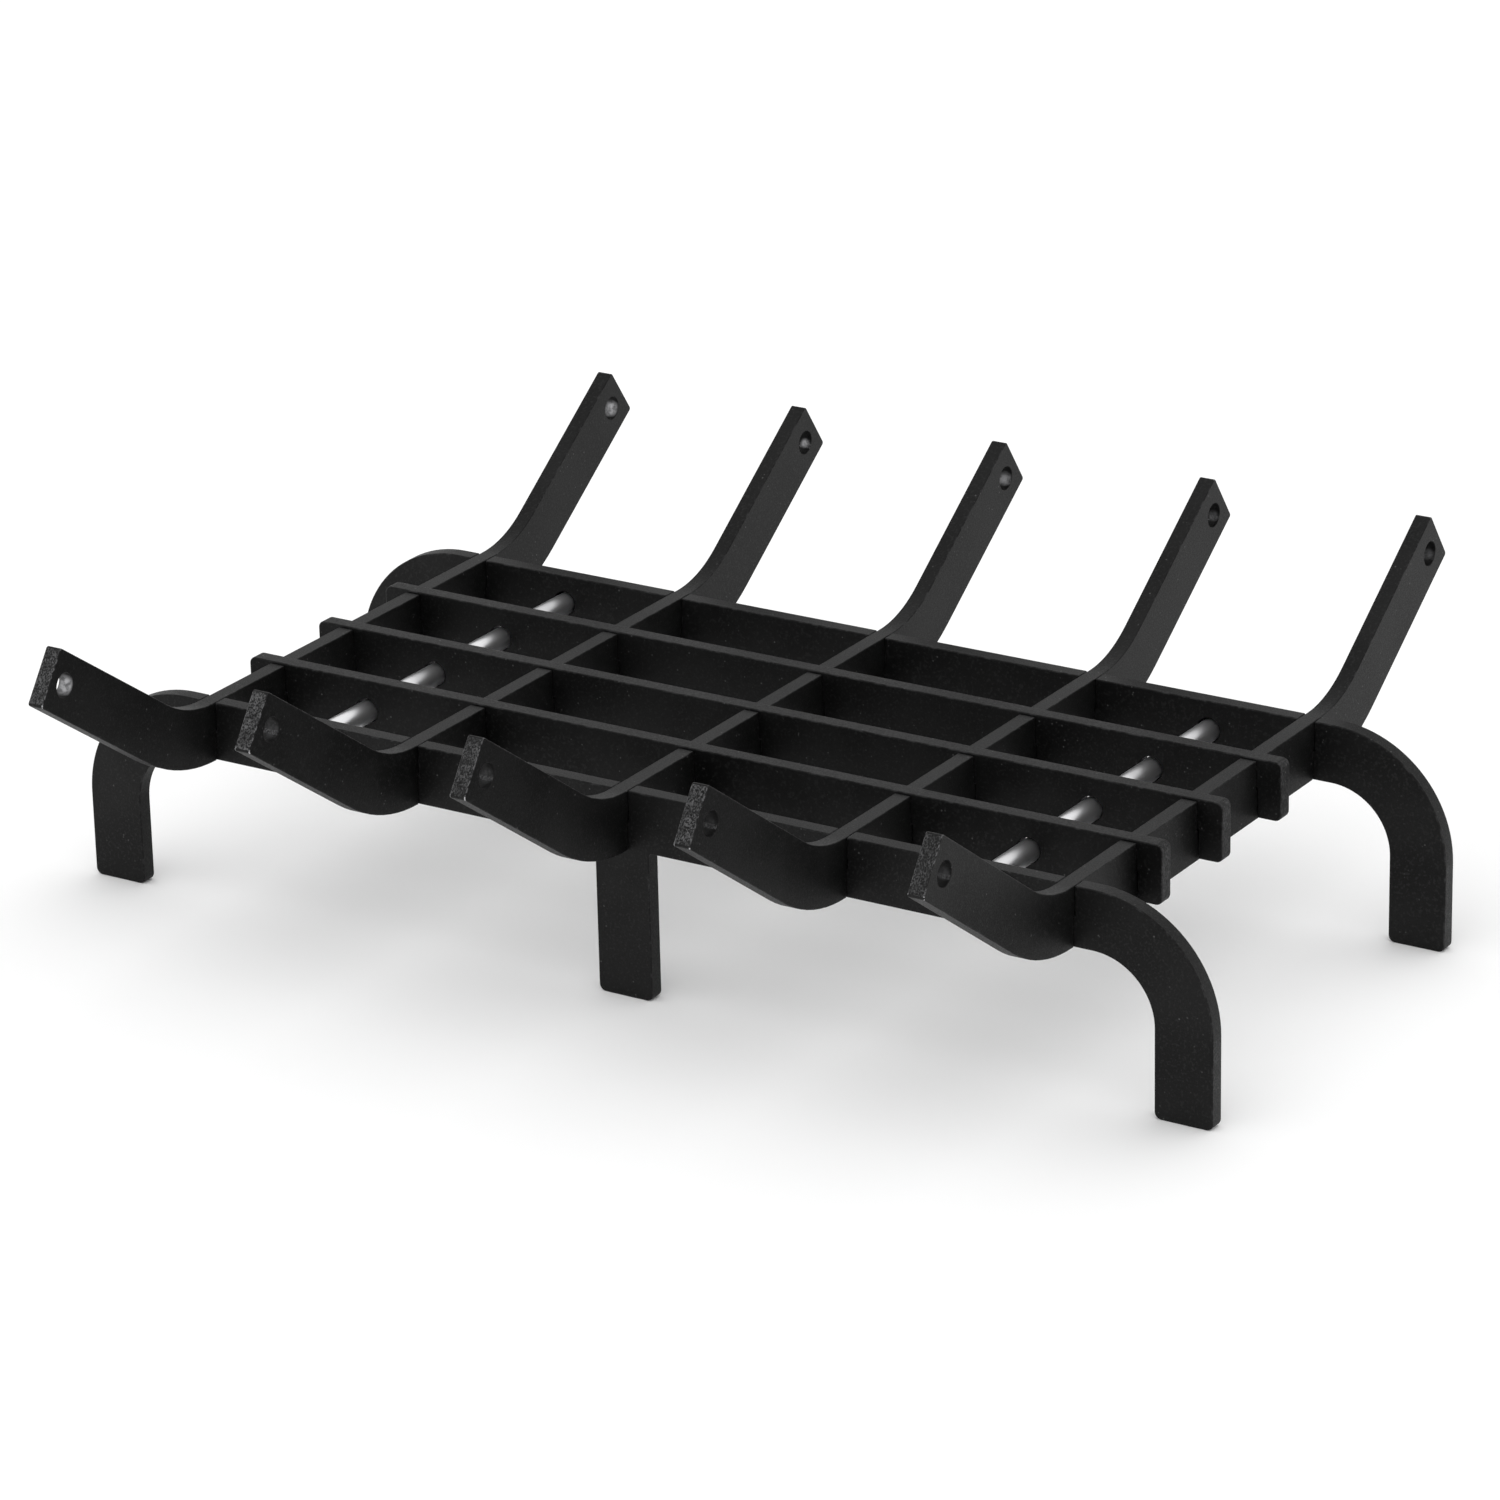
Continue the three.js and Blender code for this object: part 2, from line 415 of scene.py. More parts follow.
class Shader:
    """One material's node tree, built a node at a time."""

    def __init__(self, name: str) -> None:
        """Starts an empty material.

        Args:
            name: Name of the material.
        """
        self.material = bpy.data.materials.new(name)
        self.material.use_nodes = True
        self.nodes = self.material.node_tree.nodes
        self.links = self.material.node_tree.links
        self.nodes.clear()
        self.place = self.nodes.new("ShaderNodeTexCoord").outputs["Object"]

    def feed(self, socket: bpy.types.NodeSocket, value: object) -> None:
        """Sets a socket to a value, or links another socket to it.

        Args:
            socket: Input to set.
            value: A socket, a number or a colour.
        """
        if isinstance(value, bpy.types.NodeSocket):
            self.links.new(value, socket)
        elif isinstance(value, tuple) and len(value) < len(socket.default_value):
            socket.default_value = (*value, 1)
        else:
            socket.default_value = value

    def stretched(self, scale: Stretch) -> bpy.types.NodeSocket:
        """Object coordinates with each axis scaled by itself.

        Args:
            scale: Scale along X, Y and Z.

        Returns:
            The scaled coordinates.
        """
        mapping = self.nodes.new("ShaderNodeMapping")
        self.feed(mapping.inputs["Vector"], self.place)
        mapping.inputs["Scale"].default_value = scale
        return mapping.outputs["Vector"]

    def noise(self, cloud: Cloud, where: bpy.types.NodeSocket | None = None) -> bpy.types.NodeSocket:
        """Cloudy variation.

        Args:
            cloud: Its size and layers.
            where: Coordinates, if not the object's own.

        Returns:
            A value about 0.5.
        """
        node = self.nodes.new("ShaderNodeTexNoise")
        self.feed(node.inputs["Vector"], where or self.place)
        node.inputs["Scale"].default_value = 1 / cloud.size
        node.inputs["Detail"].default_value = cloud.layers
        return node.outputs["Fac"]

    def cells(self, size: float) -> bpy.types.NodeSocket:
        """Distance to the nearest of many scattered points.

        Args:
            size: Mean spacing of the points, in metres.

        Returns:
            The distance, as a share of the spacing.
        """
        node = self.nodes.new("ShaderNodeTexVoronoi")
        self.feed(node.inputs["Vector"], self.place)
        node.inputs["Scale"].default_value = 1 / size
        return node.outputs["Distance"]

    def zone(self, zone: Zone) -> bpy.types.NodeSocket:
        """An attribute of the piece.

        Args:
            zone: Attribute to read.

        Returns:
            Its value.
        """
        node = self.nodes.new("ShaderNodeAttribute")
        node.attribute_name = zone.value
        return node.outputs["Fac"]

    def ramp(self, value: bpy.types.NodeSocket, band: Band) -> bpy.types.NodeSocket:
        """Maps a range of values smoothly to another.

        Args:
            value: Value to map.
            band: The two ranges.

        Returns:
            The mapped value.
        """
        node = self.nodes.new("ShaderNodeMapRange")
        node.interpolation_type = "SMOOTHSTEP"
        self.feed(node.inputs["Value"], value)
        node.inputs["From Min"].default_value = band.start
        node.inputs["From Max"].default_value = band.end
        node.inputs["To Min"].default_value = band.low
        node.inputs["To Max"].default_value = band.high
        return node.outputs["Result"]

    def pair(self, pairing: Pairing, first: object, second: object) -> bpy.types.NodeSocket:
        """Combines two values, held between 0 and 1.

        Args:
            pairing: How they are combined.
            first: First value.
            second: Second value.

        Returns:
            The result.
        """
        node = self.nodes.new("ShaderNodeMath")
        node.operation = pairing.value
        node.use_clamp = True
        self.feed(node.inputs[0], first)
        self.feed(node.inputs[1], second)
        return node.outputs["Value"]

    def blend(
        self, share: bpy.types.NodeSocket, under: object, over: object, what: Blend = Blend.COLOURS
    ) -> bpy.types.NodeSocket:
        """Blends two colours or numbers.

        Args:
            share: Share of the second one.
            under: First one.
            over: Second one.
            what: Whether they are colours or numbers.

        Returns:
            The blend.
        """
        data_type, first, second, result = what.value
        node = self.nodes.new("ShaderNodeMix")
        node.data_type = data_type
        self.feed(node.inputs["Factor"], share)
        self.feed(node.inputs[first], under)
        self.feed(node.inputs[second], over)
        return node.outputs[result]

    def bump(
        self, height: bpy.types.NodeSocket, depth: float, over: bpy.types.NodeSocket | None = None
    ) -> bpy.types.NodeSocket:
        """Raises a surface by a pattern.

        Args:
            height: The pattern, from 0 to 1.
            depth: Height of the relief, in metres.
            over: Relief that this one is added to.

        Returns:
            The normal.
        """
        node = self.nodes.new("ShaderNodeBump")
        node.inputs["Distance"].default_value = depth
        self.feed(node.inputs["Height"], height)
        if over:
            self.feed(node.inputs["Normal"], over)
        return node.outputs["Normal"]

    def surface(self, **inputs: object) -> bpy.types.Material:
        """Ends the tree with a Principled surface.

        Args:
            inputs: Values of its sockets, with _ for a space in their names.

        Returns:
            The material.
        """
        node = self.nodes.new("ShaderNodeBsdfPrincipled")
        for name, value in inputs.items():
            self.feed(node.inputs[name.replace("_", " ")], value)
        output = self.nodes.new("ShaderNodeOutputMaterial")
        self.links.new(node.outputs["BSDF"], output.inputs["Surface"])
        return self.material


class Finish(ABC):
    """A finish of the record, made into a material once."""

    slot: str

    def material(self) -> bpy.types.Material:
        """The material, which pieces of this finish share."""
        name = f"{self.slot}_finish"
        return bpy.data.materials.get(name) or self.mix(Shader(name))

    @abstractmethod
    def mix(self, shader: Shader) -> bpy.types.Material:
        """Builds the material.

        Args:
            shader: Empty material with the finish's name.

        Returns:
            The material.
        """


@dataclass(frozen=True)
class PowderCoat(Finish):
    """Matt black coat with a fine grain, lighter on its edges and cut ends, and bare where the hooks held
    it.

    The lighter edges are scuffed coat plus a painted edge highlight, and the lighter cut ends
    are saw marks plus painted light. Each pattern of the coat is a cloud, and the band beside
    it says how much of it shows.
    """

    slot: str = "black_powder_coat"
    deep: Colour = (0.0004, 0.0004, 0.0004)
    faded: Colour = (0.0035, 0.0035, 0.0035)
    fading: Cloud = Cloud(38 * MM, 4)
    fading_shows: Band = Band(0.35, 0.65)
    salt: Colour = (0.009, 0.009, 0.009)
    salting: Cloud = Cloud(1.5 * MM, 1)
    salting_shows: Band = Band(0.52, 0.72)
    speck: Colour = (0.06, 0.06, 0.06)
    speck_spacing: float = 3.4 * MM
    speck_size: Band = Band(0.2, 0.1)
    specked_areas: Cloud = Cloud(8 * MM, 4)
    specked_areas_show: Band = Band(0.53, 0.68)
    saw_marks_and_light: Colour = (0.095, 0.095, 0.097)
    # Lighter tone of cut ends: saw marks plus painted light.
    saw_strokes: Cloud = Cloud(0.8 * MM, 2)
    saw_stretch: Stretch = (1, 1, 0.55)
    saw_strokes_show: Band = Band(0.36, 0.72)
    blotches: Cloud = Cloud(5 * MM, 3)
    blotches_show: Band = Band(0.4, 0.6, 0.45, 1)
    # Lighter tone on the edges, set by the pattern and strength below: scuffed coat plus a painted edge
    # highlight.
    rub_and_edge_highlight: Colour = (0.075, 0.075, 0.077)
    rub_and_edge_highlight_cloud: Cloud = Cloud(6 * MM, 5)
    rub_and_edge_highlight_shows: Band = Band(0.46, 0.66)
    most_rub_and_edge_highlight: float = 0.5
    chipped: Colour = (0.42, 0.42, 0.43)
    chips: Cloud = Cloud(2.6 * MM, 3)
    chips_show: Band = Band(0.5, 0.56)
    chipping_wear: Band = Band(0.5, 0.95)
    scrapes: Cloud = Cloud(2.5 * MM, 3)
    scrapes_show: Band = Band(0.3, 0.6, 0.45, 1)
    bare_roughness: float = 0.34
    gloss: float = 0.185
    grain: Cloud = Cloud(0.8 * MM, 3)
    grain_roughness: Band = Band(0.3, 0.7, 0.44, 0.6)
    grain_depth: float = 0.06 * MM
    peel: Cloud = Cloud(1.9 * MM, 2)
    peel_depth: float = 0.03 * MM

    def mix(self, shader: Shader) -> bpy.types.Material:
        """Builds the coat. See Finish."""
        arris = shader.zone(Zone.ARRIS)
        saw_marks_and_light = self.saw_marks_and_light_share(shader)
        bare = self.bare_metal(shader, arris)
        # Cut ends are lightened: saw marks plus painted light.
        tone = shader.blend(saw_marks_and_light, self.plain_coat(shader), self.saw_marks_and_light)
        # Edges are lightened: scuffed coat plus a painted edge highlight.
        rub_and_highlight = shader.pair(Pairing.BOTH, arris, shader.ramp(shader.noise(self.rub_and_edge_highlight_cloud), self.rub_and_edge_highlight_shows))
        rub_and_highlight = shader.pair(Pairing.BOTH, rub_and_highlight, self.most_rub_and_edge_highlight)
        tone = shader.blend(rub_and_highlight, tone, self.rub_and_edge_highlight)
        tone = shader.blend(bare, tone, self.chipped)

        grain = shader.noise(self.grain)
        rough = shader.ramp(grain, self.grain_roughness)
        rough = shader.blend(bare, rough, self.bare_roughness, Blend.NUMBERS)
        relief = shader.bump(shader.noise(self.peel), self.peel_depth)
        relief = shader.bump(grain, self.grain_depth, relief)
        relief = shader.bump(saw_marks_and_light, self.peel_depth, relief)
        return shader.surface(
            Base_Color=tone,
            Metallic=bare,
            Roughness=rough,
            Specular_IOR_Level=self.gloss,
            Normal=relief,
        )

    def plain_coat(self, shader: Shader) -> bpy.types.NodeSocket:
        """Colour of the coat away from its edges and cut ends.

        Args:
            shader: The material.

        Returns:
            The colour.
        """
        fading = shader.ramp(shader.noise(self.fading), self.fading_shows)
        tone = shader.blend(fading, self.deep, self.faded)
        tone = shader.blend(shader.ramp(shader.noise(self.salting), self.salting_shows), tone, self.salt)
        specks = shader.ramp(shader.cells(self.speck_spacing), self.speck_size)
        areas = shader.ramp(shader.noise(self.specked_areas), self.specked_areas_show)
        return shader.blend(shader.pair(Pairing.BOTH, specks, areas), tone, self.speck)

    def saw_marks_and_light_share(self, shader: Shader) -> bpy.types.NodeSocket:
        """Strokes of the saw on a cut end, which lighten it as saw marks plus painted light.

        Args:
            shader: The material.

        Returns:
            Their strength.
        """
        strokes = shader.noise(self.saw_strokes, shader.stretched(self.saw_stretch))
        blotches = shader.ramp(shader.noise(self.blotches), self.blotches_show)
        sawn = shader.zone(Zone.SAWN)
        saw_marks_and_light = shader.pair(Pairing.BOTH, shader.ramp(strokes, self.saw_strokes_show), sawn)
        return shader.pair(Pairing.BOTH, saw_marks_and_light, blotches)

    def bare_metal(self, shader: Shader, arris: bpy.types.NodeSocket) -> bpy.types.NodeSocket:
        """Chips on worn edges, and scrapes of the hooks in the holes.

        Args:
            shader: The material.
            arris: Wear of the edges.

        Returns:
            How bare the metal is.
        """
        chips = shader.ramp(shader.noise(self.chips), self.chips_show)
        chips = shader.pair(Pairing.BOTH, chips, shader.ramp(arris, self.chipping_wear))
        scrapes = shader.ramp(shader.noise(self.scrapes), self.scrapes_show)
        scrapes = shader.pair(Pairing.BOTH, shader.zone(Zone.HOOK_MARK), scrapes)
        return shader.pair(Pairing.EITHER, scrapes, chips)


@dataclass(frozen=True)
class BrightSteel(Finish):
    """Ground and polished round bar, with fine rings and a film that dulls it in places."""

    slot: str = "bright_steel"
    bright: Colour = (0.86, 0.86, 0.87)
    dull: Colour = (0.62, 0.62, 0.63)
    film: Cloud = Cloud(22 * MM, 1)
    film_shows: Band = Band(0.4, 0.7)
    film_roughness: Band = Band(0.3, 0.7, 0.285, 0.335)
    metal: float = 0.94
    rings: Cloud = Cloud(0.5 * MM, 2)
    ring_stretch: Stretch = (0.02, 1, 0.02)
    ring_depth: float = 0.0004 * MM

    def mix(self, shader: Shader) -> bpy.types.Material:
        """Builds the steel. See Finish."""
        rings = shader.noise(self.rings, shader.stretched(self.ring_stretch))
        film = shader.noise(self.film)
        return shader.surface(
            Base_Color=shader.blend(shader.ramp(film, self.film_shows), self.bright, self.dull),
            Metallic=self.metal,
            Roughness=shader.ramp(film, self.film_roughness),
            Normal=shader.bump(rings, self.ring_depth),
        )


@dataclass(frozen=True)
class ZincPlate(Finish):
    """Satin zinc on the washers and nuts."""

    slot: str = "zinc_plated_steel"
    pale: Colour = (0.62, 0.63, 0.65)
    grey: Colour = (0.42, 0.43, 0.45)
    cloud: Cloud = Cloud(3 * MM, 4)
    cloud_shows: Band = Band(0.35, 0.65)
    cloud_roughness: Band = Band(0.3, 0.7, 0.32, 0.48)
    grain: Cloud = Cloud(0.3 * MM, 2)
    grain_depth: float = 0.006 * MM

    def mix(self, shader: Shader) -> bpy.types.Material:
        """Builds the plating. See Finish."""
        cloud = shader.noise(self.cloud)
        return shader.surface(
            Base_Color=shader.blend(shader.ramp(cloud, self.cloud_shows), self.pale, self.grey),
            Metallic=1.0,
            Roughness=shader.ramp(cloud, self.cloud_roughness),
            Normal=shader.bump(shader.noise(self.grain), self.grain_depth),
        )


# Plates


@dataclass
class FlatBar(ABC):
    """A plate on edge, drawn as the right half of its outline and mirrored.

    plain_wear_and_highlight is how worn its edges are and how strong their painted highlight is, sawn is
    how strongly saw marks and painted light lighten its cut ends, facing is the least cosine between
    a cut end's normal and the plate's run, and wall_cuts parts a hole's wall.
    """

    node: str
    finish: Finish
    plain_wear_and_highlight: float = 0.45
    sawn: float = 1
    facing: float = 0.98
    wall_cuts: int = 9

    @abstractmethod
    def draw(self, mesh: bmesh.types.BMesh) -> None:
        """Draws the right half, split where a hole needs it.

        Args:
            mesh: Mesh to draw in.
        """

    @abstractmethod
    def place(self) -> Matrix:
        """The turn and move from the drawing, centred on its own plane, to the frame."""

    def holes(self) -> list[tuple[Vector, float]]:
        """Centre and radius of each hole in the right half of the drawing."""
        return []

    def cut_faces(self, mesh: bmesh.types.BMesh) -> list[bmesh.types.BMFace]:
        """Faces of the cut ends.

        Args:
            mesh: The thickened plate.

        Returns:
            The faces.
        """
        return []

    def wear_and_highlight_at(self, point: Vector) -> float:
        """How worn an edge is, which also sets the strength of its painted highlight.

        Args:
            point: Point of the edge.

        Returns:
            The wear, from 0 to 1.
        """
        return self.plain_wear_and_highlight

    def bareness(self, point: Vector) -> float:
        """How bare a hook has scraped a hole's wall.

        Args:
            point: Point of the wall.

        Returns:
            The bareness, from 0 to 1.
        """
        return 0

    def mark_hooks(self, mesh: bmesh.types.BMesh) -> None:
        """Parts the holes' walls finely and gives their points the marks of the hooks.

        Args:
            mesh: The thickened plate.
        """
        through = [
            e
            for e in mesh.edges
            if self.in_hole(e.verts[0].co)
            and self.in_hole(e.verts[1].co)
            and abs(e.verts[0].co.y - e.verts[1].co.y) > STOCK.thickness / 2
        ]
        bmesh.ops.subdivide_edges(mesh, edges=through, cuts=self.wall_cuts, use_grid_fill=True)
        layer = mesh.verts.layers.float.new(Zone.HOOK_MARK.value)
        for vertex in mesh.verts:
            if self.in_hole(vertex.co) and abs(vertex.co.y) < STOCK.thickness / 2 - WELD:
                vertex[layer] = self.bareness(vertex.co)

    def in_hole(self, point: Vector) -> bool:
        """Tells whether a point is on the wall of a hole.

        Args:
            point: Point of the drawing.

        Returns:
            Whether it is.
        """
        return any(
            Vector((abs(point.x) - centre.x, 0, point.z - centre.z)).length < radius + STOCK.hole_arris
            for centre, radius in self.holes()
        )

    def build(self) -> bpy.types.Object:
        """Makes the plate.

        Returns:
            The finished piece.
        """
        mesh = bmesh.new()
        self.draw(mesh)
        drawn = mesh.verts[:] + mesh.edges[:] + mesh.faces[:]
        bmesh.ops.mirror(mesh, geom=drawn, axis="X", merge_dist=WELD)
        bmesh.ops.remove_doubles(mesh, verts=mesh.verts, dist=WELD)
        bmesh.ops.recalc_face_normals(mesh, faces=mesh.faces)
        thick = bmesh.ops.extrude_face_region(mesh, geom=mesh.faces[:], use_keep_orig=True)
        raised = [g for g in thick["geom"] if isinstance(g, bmesh.types.BMVert)]
        bmesh.ops.translate(mesh, verts=raised, vec=Y_AXIS * STOCK.thickness)
        bmesh.ops.translate(mesh, verts=mesh.verts, vec=-Y_AXIS * STOCK.thickness / 2)
        bmesh.ops.recalc_face_normals(mesh, faces=mesh.faces)
        self.dress(mesh)
        bmesh.ops.transform(mesh, matrix=self.place(), verts=mesh.verts)
        piece = finished(mesh, f"{self.node}_plate", STOCK.crease)
        fit(piece, self.node, self.finish)
        return piece

    def dress(self, mesh: bmesh.types.BMesh) -> None:
        """Eases the edges and marks the zones of the finish.

        Args:
            mesh: The thickened plate.
        """
        self.mark_hooks(mesh)
        for zone in (Zone.ARRIS, Zone.SAWN):
            mesh.faces.layers.float.new(zone.value)
        # Cut ends get the lighter tone of saw marks plus painted light.
        mark(mesh, Zone.SAWN, self.cut_faces(mesh), self.sawn)
        edges = sharp_edges(mesh, STOCK.cut_corner)
        rims = [e for e in edges if self.in_hole((e.verts[0].co + e.verts[1].co) / 2)]
        cut = [e for e in edges if e not in set(rims)]
        # Eased edges get a value that sets how worn they are and how strong their painted highlight is.
        for face in ease(mesh, cut, STOCK.arris):
            mark(mesh, Zone.ARRIS, [face], self.wear_and_highlight_at(face.calc_center_median()))
        ease(mesh, [e for e in rims if e.is_valid], STOCK.hole_arris)


@dataclass
class Rail(FlatBar):
    """Plate along X that crosses the log bars and lets a tie rod through near each end."""

    bar_xs: tuple[float, ...] = ()

    @property
    def rod_x(self) -> float:
        """Place of the right tie rod, along X."""
        return max(self.bar_xs) - STOCK.rod_inset

    def place(self) -> Matrix:
        """See FlatBar."""
        return Matrix.Translation((0, middle_of(self.node).y, 0))

    def holes(self) -> list[tuple[Vector, float]]:
        """See FlatBar."""
        return [(Vector((self.rod_x, 0, STOCK.mid_depth)), STOCK.rod_hole_diameter / 2)]


@dataclass
class LegRail(Rail):
    """Front or rear rail: its ends bend down into legs, and a third leg stands in the middle."""

    leg_run: float = 15.5 * MM
    bend_radius: float = 36 * MM
    foot_round: float = 4 * MM
    centre_leg_fillet: float = 2 * MM
    # Its cut ends are lightened by saw marks plus painted light.
    sawn: float = 0.35
    facing: float = 0.99

    def cut_faces(self, mesh: bmesh.types.BMesh) -> list[bmesh.types.BMFace]:
        """See FlatBar."""
        bend_z = STOCK.underside - self.bend_radius
        inside = max(self.bar_xs) + self.leg_run + self.bend_radius + STOCK.depth / 2
        return [
            f
            for f in mesh.faces
            if abs(f.normal.x) > self.facing
            and abs(f.calc_center_median().x) > inside
            and f.calc_center_median().z < bend_z
        ]

    def draw(self, mesh: bmesh.types.BMesh) -> None:
        """See FlatBar."""
        top, under, gap = STOCK.deck_height, STOCK.underside, STOCK.half_slot
        floor = STOCK.mid_depth - STOCK.seat_gap / 2
        radius = STOCK.rod_hole_diameter / 2
        centre_x, second_x, outer_x = self.bar_xs[-3:]
        rod_x = self.rod_x
        bend_x = outer_x + self.leg_run
        bend_z = under - self.bend_radius
        inner_x = bend_x + self.bend_radius
        foot_x = inner_x + STOCK.depth

        inner = Outline(mesh, centre_x, floor)
        inner.line(centre_x + gap, floor).line(centre_x + gap, top)
        inner.line(second_x - gap, top).line(second_x - gap, floor)
        inner.line(second_x + gap, floor).line(second_x + gap, top)
        inner.line(rod_x, top).line(rod_x, STOCK.mid_depth + radius)
        inner.arc(rod_x, STOCK.mid_depth, HALF_TURN).line(rod_x, under)
        inner.line(STOCK.depth / 2, under, self.centre_leg_fillet)
        inner.line(STOCK.depth / 2, 0, self.foot_round).line(centre_x, 0)
        inner.close()

        outer = Outline(mesh, rod_x, top)
        outer.line(outer_x - gap, top).line(outer_x - gap, floor)
        outer.line(outer_x + gap, floor).line(outer_x + gap, top)
        outer.line(bend_x, top).arc(bend_x, bend_z, -QUARTER_TURN)
        outer.line(foot_x, 0, self.foot_round).line(inner_x, 0, self.foot_round)
        outer.line(inner_x, bend_z).arc(bend_x, bend_z, QUARTER_TURN)
        outer.line(rod_x, under).line(rod_x, STOCK.mid_depth - radius)
        outer.arc(rod_x, STOCK.mid_depth, HALF_TURN)
        outer.close()


@dataclass
class MidRail(Rail):
    """Straight rail between the leg rails, which drops over the log bars from above."""

    overhang: float = 15 * MM
    proud: float = 1.2 * MM
    end_round: float = 4 * MM
    # Its cut ends are lightened by saw marks plus painted light.
    sawn: float = 0.4
    facing: float = 0.5

    def cut_faces(self, mesh: bmesh.types.BMesh) -> list[bmesh.types.BMFace]:
        """See FlatBar."""
        end = max(self.bar_xs) + STOCK.thickness / 2 + self.overhang - self.end_round
        outer = [f for f in mesh.faces if abs(f.calc_center_median().x) > end]
        return [f for f in outer if abs(f.normal.x) > self.facing]

    def draw(self, mesh: bmesh.types.BMesh) -> None:
        """See FlatBar."""
        top, under = STOCK.deck_height + self.proud, STOCK.underside + self.proud
        gap = STOCK.half_slot
        ceiling = STOCK.mid_depth + self.proud / 2 + STOCK.seat_gap / 2
        radius = STOCK.rod_hole_diameter / 2
        centre_x, second_x, outer_x = self.bar_xs[-3:]
        rod_x = self.rod_x
        end = outer_x + STOCK.thickness / 2 + self.overhang

        inner = Outline(mesh, centre_x, ceiling)
        inner.line(centre_x + gap, ceiling).line(centre_x + gap, under)
        inner.line(second_x - gap, under).line(second_x - gap, ceiling)
        inner.line(second_x + gap, ceiling).line(second_x + gap, under)
        inner.line(rod_x, under).line(rod_x, STOCK.mid_depth - radius)
        inner.arc(rod_x, STOCK.mid_depth, -HALF_TURN)
        inner.line(rod_x, top).line(centre_x, top)
        inner.close()

        outer = Outline(mesh, rod_x, under)
        outer.line(outer_x - gap, under).line(outer_x - gap, ceiling)
        outer.line(outer_x + gap, ceiling).line(outer_x + gap, under)
        outer.line(end, under, self.end_round).line(end, top, self.end_round)
        outer.line(rod_x, top).line(rod_x, STOCK.mid_depth + radius)
        outer.arc(rod_x, STOCK.mid_depth, -HALF_TURN)
        outer.close()


